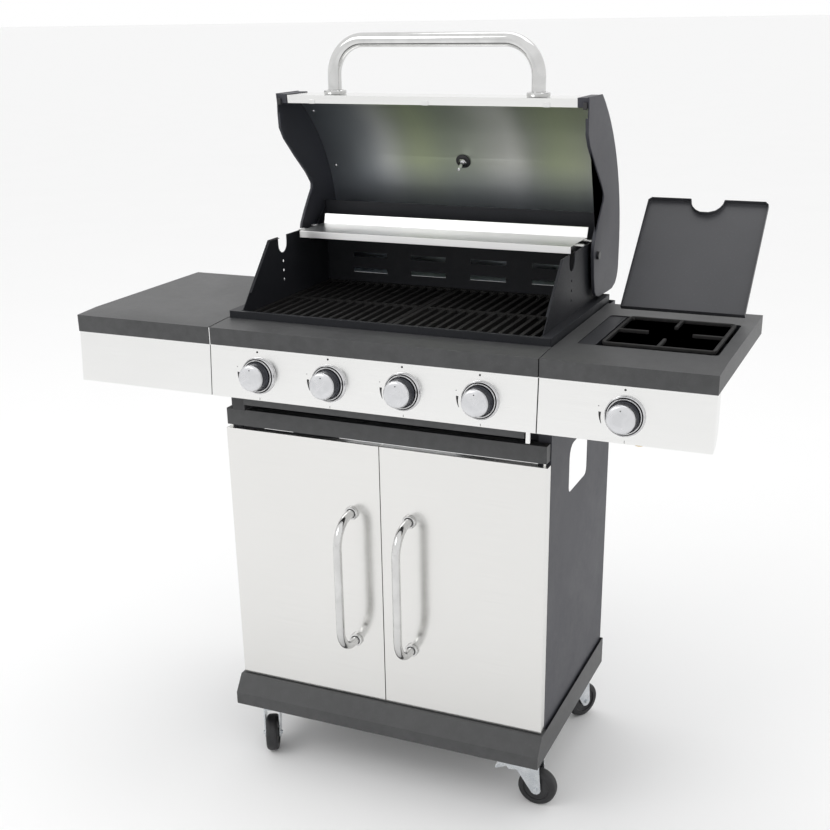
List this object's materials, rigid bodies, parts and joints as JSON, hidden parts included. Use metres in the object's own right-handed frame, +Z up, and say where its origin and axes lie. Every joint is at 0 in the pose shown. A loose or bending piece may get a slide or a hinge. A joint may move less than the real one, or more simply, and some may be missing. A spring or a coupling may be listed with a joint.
{
  "type": "gas barbecue grill",
  "caption": "Gas barbecue cart with a hinged hood, cooking grates over tube burners, control knobs, side burner with lid, side shelves, cabinet doors and casters.",
  "frame": {"origin": "on the ground under the middle of the overall box, with the hood open", "axes": "+Z up, -Y towards the person cooking (front), +X to their right, where the side burner is"},
  "size_m": [1.211, 0.5636, 1.4026],
  "materials": {
    "dark_paint": "fine textured dark grey powder coat",
    "stainless": "brushed stainless steel",
    "bright_steel": "polished stainless steel",
    "hood_steel": "brushed stainless steel",
    "knob_metal": "satin plated knob with a dark skirt",
    "fire_black": "heat resistant black enamel",
    "cast_iron": "matt enamelled cast iron",
    "zinc": "zinc plated steel",
    "brass": "turned brass",
    "tyre": "black rubber"
  },
  "bodies": {
    "root": {"base_tray": "dark_paint", "side_panel_left": "dark_paint", "side_panel_right": "dark_paint", "rear_brace": "dark_paint", "front_rail": "dark_paint", "firebox": "fire_black", "gas_manifold": "brass", "control_panel": "stainless", "top_rail": "dark_paint", "left_shelf_top": "dark_paint", "left_shelf_front": "stainless", "right_shelf_top": "dark_paint", "right_shelf_front": "stainless", "side_burner_pan": "fire_black", "side_burner_head": "cast_iron", "side_burner_grate": "cast_iron", "hood_bolt_left": "zinc", "hood_bolt_right": "zinc", "burner_tube_1": "stainless", "burner_tube_2": "stainless", "burner_tube_3": "stainless", "burner_tube_4": "stainless", "flame_tamer_1": "stainless", "flame_tamer_2": "stainless", "flame_tamer_3": "stainless", "flame_tamer_4": "stainless"},
    "hood": {"hood_skin": "hood_steel", "hood_cap_left": "dark_paint", "hood_cap_right": "dark_paint", "hood_handle": "bright_steel", "thermometer": "bright_steel"},
    "side_lid": {"side_burner_lid": "dark_paint"},
    "valve_1": {"valve_stem_1": "brass"},
    "dial_1": {"knob_1": "knob_metal"},
    "valve_2": {"valve_stem_2": "brass"},
    "dial_2": {"knob_2": "knob_metal"},
    "valve_3": {"valve_stem_3": "brass"},
    "dial_3": {"knob_3": "knob_metal"},
    "valve_4": {"valve_stem_4": "brass"},
    "dial_4": {"knob_4": "knob_metal"},
    "valve_side": {"valve_stem_side": "brass"},
    "dial_side": {"knob_side": "knob_metal"},
    "door_left": {"door_left": "stainless", "door_handle_left": "bright_steel"},
    "door_right": {"door_right": "stainless", "door_handle_right": "bright_steel"},
    "caster_front_left": {"caster_fork_front_left": "zinc"},
    "wheel_front_left": {"caster_wheel_front_left": "tyre"},
    "pedal_front_left": {"brake_pedal_front_left": "zinc"},
    "caster_front_right": {"caster_fork_front_right": "zinc"},
    "wheel_front_right": {"caster_wheel_front_right": "tyre"},
    "pedal_front_right": {"brake_pedal_front_right": "zinc"},
    "caster_rear_left": {"caster_fork_rear_left": "zinc"},
    "wheel_rear_left": {"caster_wheel_rear_left": "tyre"},
    "caster_rear_right": {"caster_fork_rear_right": "zinc"},
    "wheel_rear_right": {"caster_wheel_rear_right": "tyre"},
    "grease_tray": {"grease_tray": "zinc"},
    "grate_left": {"cooking_grate_left": "cast_iron"},
    "grate_right": {"cooking_grate_right": "cast_iron"},
    "warming_rack": {"warming_rack": "bright_steel"}
  },
  "joints": [
    {"name": "hood_hinge", "type": "hinge", "parent": "root", "child": "hood", "pos_m": [0, 0.1225, 1.013], "axis": [1, 0, 0], "range_deg": [0, 87.6]},
    {"name": "side_lid_hinge", "type": "hinge", "parent": "root", "child": "side_lid", "pos_m": [0.4725, 0.097, 0.929], "axis": [1, 0, 0], "range_deg": [0, 137]},
    {"name": "knob_push_1", "type": "slide", "parent": "root", "child": "valve_1", "axis": [0, 0.9971, -0.0758], "range_m": [0, 0.003], "stiffness_N_per_m": 500, "springref_m": -0.003},
    {"name": "knob_turn_1", "type": "hinge", "parent": "valve_1", "child": "dial_1", "pos_m": [-0.2136, -0.2464, 0.83], "axis": [0, -0.9971, 0.0758], "range_deg": [0, 180]},
    {"name": "knob_push_2", "type": "slide", "parent": "root", "child": "valve_2", "axis": [0, 0.9971, -0.0758], "range_m": [0, 0.003], "stiffness_N_per_m": 500, "springref_m": -0.003},
    {"name": "knob_turn_2", "type": "hinge", "parent": "valve_2", "child": "dial_2", "pos_m": [-0.0712, -0.2464, 0.83], "axis": [0, -0.9971, 0.0758], "range_deg": [0, 180]},
    {"name": "knob_push_3", "type": "slide", "parent": "root", "child": "valve_3", "axis": [0, 0.9971, -0.0758], "range_m": [0, 0.003], "stiffness_N_per_m": 500, "springref_m": -0.003},
    {"name": "knob_turn_3", "type": "hinge", "parent": "valve_3", "child": "dial_3", "pos_m": [0.0712, -0.2464, 0.83], "axis": [0, -0.9971, 0.0758], "range_deg": [0, 180]},
    {"name": "knob_push_4", "type": "slide", "parent": "root", "child": "valve_4", "axis": [0, 0.9971, -0.0758], "range_m": [0, 0.003], "stiffness_N_per_m": 500, "springref_m": -0.003},
    {"name": "knob_turn_4", "type": "hinge", "parent": "valve_4", "child": "dial_4", "pos_m": [0.2136, -0.2464, 0.83], "axis": [0, -0.9971, 0.0758], "range_deg": [0, 180]},
    {"name": "knob_push_side", "type": "slide", "parent": "root", "child": "valve_side", "axis": [0, 0.9971, -0.0758], "range_m": [0, 0.003], "stiffness_N_per_m": 500, "springref_m": -0.003},
    {"name": "knob_turn_side", "type": "hinge", "parent": "valve_side", "child": "dial_side", "pos_m": [0.461, -0.2464, 0.83], "axis": [0, -0.9971, 0.0758], "range_deg": [0, 180]},
    {"name": "door_hinge_left", "type": "hinge", "parent": "root", "child": "door_left", "pos_m": [-0.3115, -0.191, 0.44], "axis": [0, 0, -1], "range_deg": [0, 100]},
    {"name": "door_hinge_right", "type": "hinge", "parent": "root", "child": "door_right", "pos_m": [0.3115, -0.191, 0.44], "axis": [0, 0, 1], "range_deg": [0, 100]},
    {"name": "caster_swivel_front_left", "type": "hinge", "parent": "root", "child": "caster_front_left", "pos_m": [-0.278, -0.1675, 0.1], "axis": [0, 0, 1], "continuous": true},
    {"name": "wheel_roll_front_left", "type": "hinge", "parent": "caster_front_left", "child": "wheel_front_left", "pos_m": [-0.26661, -0.19308, 0.038], "axis": [0.9135, 0.4067, 0], "continuous": true},
    {"name": "brake_pedal_tilt_front_left", "type": "hinge", "parent": "caster_front_left", "child": "pedal_front_left", "pos_m": [-0.28797, -0.14512, 0.078], "axis": [0.9135, 0.4067, 0], "range_deg": [0, 14]},
    {"name": "caster_swivel_front_right", "type": "hinge", "parent": "root", "child": "caster_front_right", "pos_m": [0.278, -0.1675, 0.1], "axis": [0, 0, 1], "continuous": true},
    {"name": "wheel_roll_front_right", "type": "hinge", "parent": "caster_front_right", "child": "wheel_front_right", "pos_m": [0.306, -0.1675, 0.038], "axis": [0, 1, 0], "continuous": true},
    {"name": "brake_pedal_tilt_front_right", "type": "hinge", "parent": "caster_front_right", "child": "pedal_front_right", "pos_m": [0.2535, -0.1675, 0.078], "axis": [0, 1, 0], "range_deg": [0, 14]},
    {"name": "caster_swivel_rear_left", "type": "hinge", "parent": "root", "child": "caster_rear_left", "pos_m": [-0.278, 0.1525, 0.1], "axis": [0, 0, 1], "continuous": true},
    {"name": "wheel_roll_rear_left", "type": "hinge", "parent": "caster_rear_left", "child": "wheel_rear_left", "pos_m": [-0.28983, 0.17788, 0.038], "axis": [-0.9063, -0.4226, 0], "continuous": true},
    {"name": "caster_swivel_rear_right", "type": "hinge", "parent": "root", "child": "caster_rear_right", "pos_m": [0.278, 0.1525, 0.1], "axis": [0, 0, 1], "continuous": true},
    {"name": "wheel_roll_rear_right", "type": "hinge", "parent": "caster_rear_right", "child": "wheel_rear_right", "pos_m": [0.292, 0.17675, 0.038], "axis": [-0.866, 0.5, 0], "continuous": true},
    {"name": "grease_tray_slide", "type": "slide", "parent": "root", "child": "grease_tray", "axis": [0, 1, 0], "range_m": [0, 0.25]},
    {"name": "grate_lift_left", "type": "slide", "parent": "root", "child": "grate_left", "axis": [0, 0, 1], "range_m": [0, 0.012]},
    {"name": "grate_lift_right", "type": "slide", "parent": "root", "child": "grate_right", "axis": [0, 0, 1], "range_m": [0, 0.012]},
    {"name": "warming_rack_lift", "type": "slide", "parent": "root", "child": "warming_rack", "axis": [0, 0, 1], "range_m": [0, 0.05]}
  ]
}
